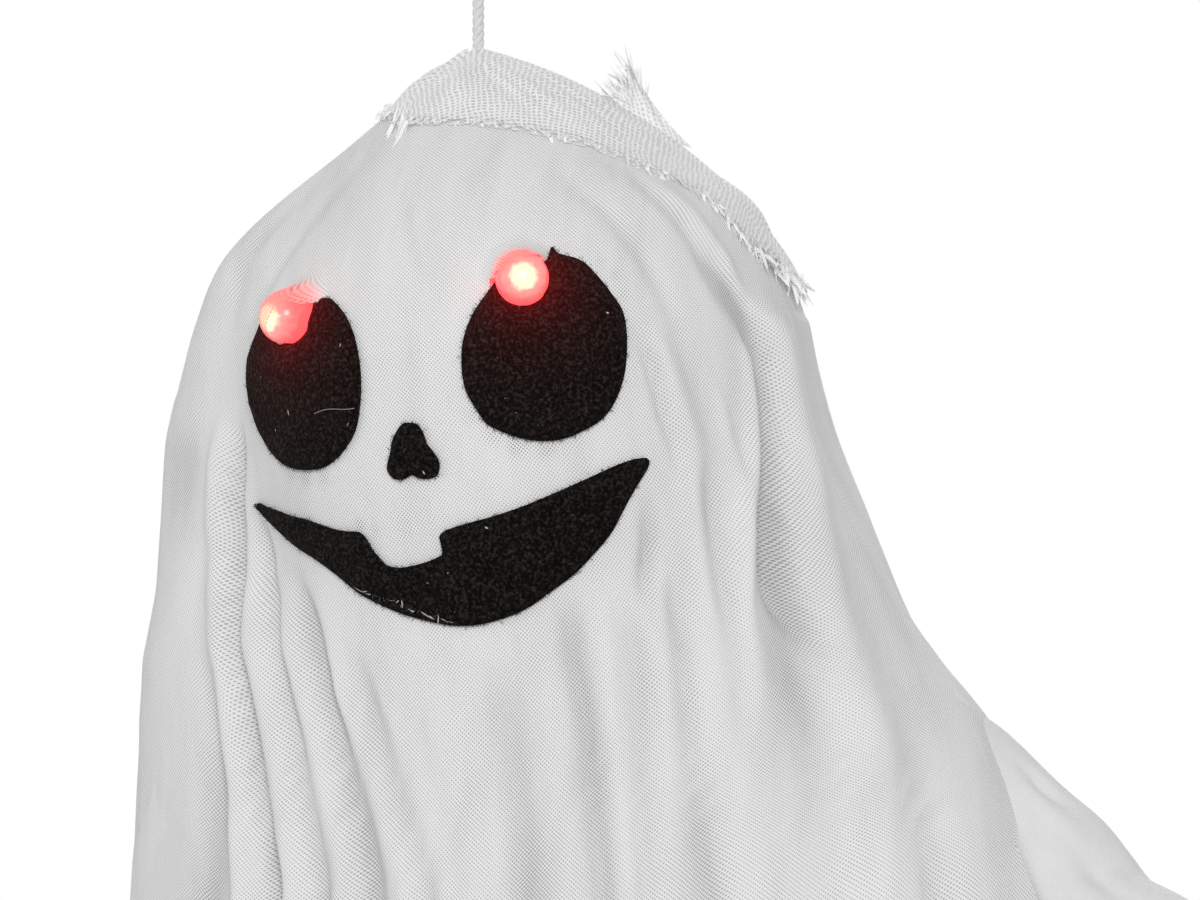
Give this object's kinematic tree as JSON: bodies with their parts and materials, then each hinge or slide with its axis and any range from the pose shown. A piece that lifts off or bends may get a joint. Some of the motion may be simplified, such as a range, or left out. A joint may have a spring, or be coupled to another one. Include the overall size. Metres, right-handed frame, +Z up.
{
  "type": "animated hanging ghost prop",
  "caption": "Hanging ghost prop: gauze-veiled head with felt face and lit eyes on a cord loop, over a geared drive box that turns padded arms and a long cloth skirt.",
  "frame": {"origin": "bearing point of a hook inside the top of the hanging loop", "axes": "+Z up along the hanging cord, the face looks to -Y, +X is the ghost's left"},
  "size_m": [0.3245, 0.3056, 0.9071],
  "materials": {
    "cord": "twisted white cotton cord",
    "steel": "plated",
    "head_plastic": "moulded white",
    "lamp": "clear red lens, lit",
    "lead": "insulated lead",
    "felt": "black felt",
    "gauze": "fine white knitted gauze",
    "scrim": "open white gauze, frayed",
    "frame_plastic": "moulded grey-white",
    "box_plastic": "moulded white",
    "brass": "cut pinion",
    "gear_plastic": "natural nylon",
    "dark_plastic": "moulded black",
    "cell": "plain sleeve",
    "board": "coated board",
    "cone": "black paper cone",
    "wire": "soft drawn wire",
    "foam": "white foam tube",
    "cloth": "thin plain-weave white cloth"
  },
  "bodies": {
    "head": {"hang_cord": "cord", "hang_knot": "cord", "stop_knot": "cord", "stop_washer": "steel", "head_screws": "steel", "box_screws": "steel", "thrust_washer": "steel", "motor": "steel", "idler_pin": "steel", "battery_contacts": "steel", "board_screws": "steel", "switch_body": "steel", "head_front_shell": "head_plastic", "head_rear_shell": "head_plastic", "lamp_holder_left": "head_plastic", "lamp_holder_right": "head_plastic", "eye_lamp_left": "lamp", "eye_lamp_right": "lamp", "lamp_leads": "lead", "eye_patch_left": "felt", "eye_patch_right": "felt", "nose_patch": "felt", "mouth_patch": "felt", "veil_front": "gauze", "veil_back": "gauze", "crown_wrap": "scrim", "neck_tube": "frame_plastic", "gear_plate": "frame_plastic", "box_front": "box_plastic", "box_back": "box_plastic", "battery_tray": "dark_plastic", "board_parts": "dark_plastic", "speaker_frame": "dark_plastic", "batteries": "cell", "circuit_board": "board", "speaker_cone": "cone"},
    "shoulders": {"shoulder_hub": "frame_plastic", "skirt_hoop": "frame_plastic", "arm_wire_left": "wire", "arm_wire_right": "wire", "arm_padding_left": "foam", "arm_padding_right": "foam", "sleeve_left": "cloth", "sleeve_right": "cloth", "skirt_front": "cloth", "skirt_left": "cloth", "skirt_back": "cloth", "skirt_right": "cloth"},
    "output": {"output_shaft": "steel", "output_gear": "gear_plastic", "output_pinion": "gear_plastic"},
    "idler": {"idler_gear": "gear_plastic"},
    "rotor": {"motor_shaft": "steel", "motor_pinion": "brass"},
    "switch_slide": {"switch_knob": "dark_plastic"},
    "door": {"battery_door": "box_plastic", "door_screw": "steel"}
  },
  "joints": [
    {"name": "shoulder_twist", "type": "hinge", "parent": "head", "child": "shoulders", "pos_m": [0.01767, 0, -0.21992], "axis": [0, 0, 1], "range_deg": [-30, 30], "deforming": ["veil_front", "veil_back"]},
    {"name": "output_spin", "type": "hinge", "parent": "head", "child": "output", "pos_m": [0.04167, 0, -0.21992], "axis": [0, 0, 1], "range_deg": [-92, 92]},
    {"name": "idler_spin", "type": "hinge", "parent": "head", "child": "idler", "pos_m": [0.02972, 0.0069, -0.21992], "axis": [0, 0, 1], "range_deg": [-330, 330]},
    {"name": "motor_spin", "type": "hinge", "parent": "head", "child": "rotor", "pos_m": [0.01592, 0.0069, -0.21992], "axis": [0, 0, 1], "range_deg": [-1175, 1175]},
    {"name": "switch_slide", "type": "slide", "parent": "head", "child": "switch_slide", "axis": [1, 0, 0], "range_m": [0, 0.004]},
    {"name": "door_lift", "type": "slide", "parent": "head", "child": "door", "axis": [0, 1, 0], "range_m": [0, 0.015]}
  ],
  "couplings": [
    {"joint": "output_spin", "follows": "shoulder_twist", "ratio": -3},
    {"joint": "idler_spin", "follows": "shoulder_twist", "ratio": 10.8},
    {"joint": "motor_spin", "follows": "shoulder_twist", "ratio": -38.88}
  ]
}
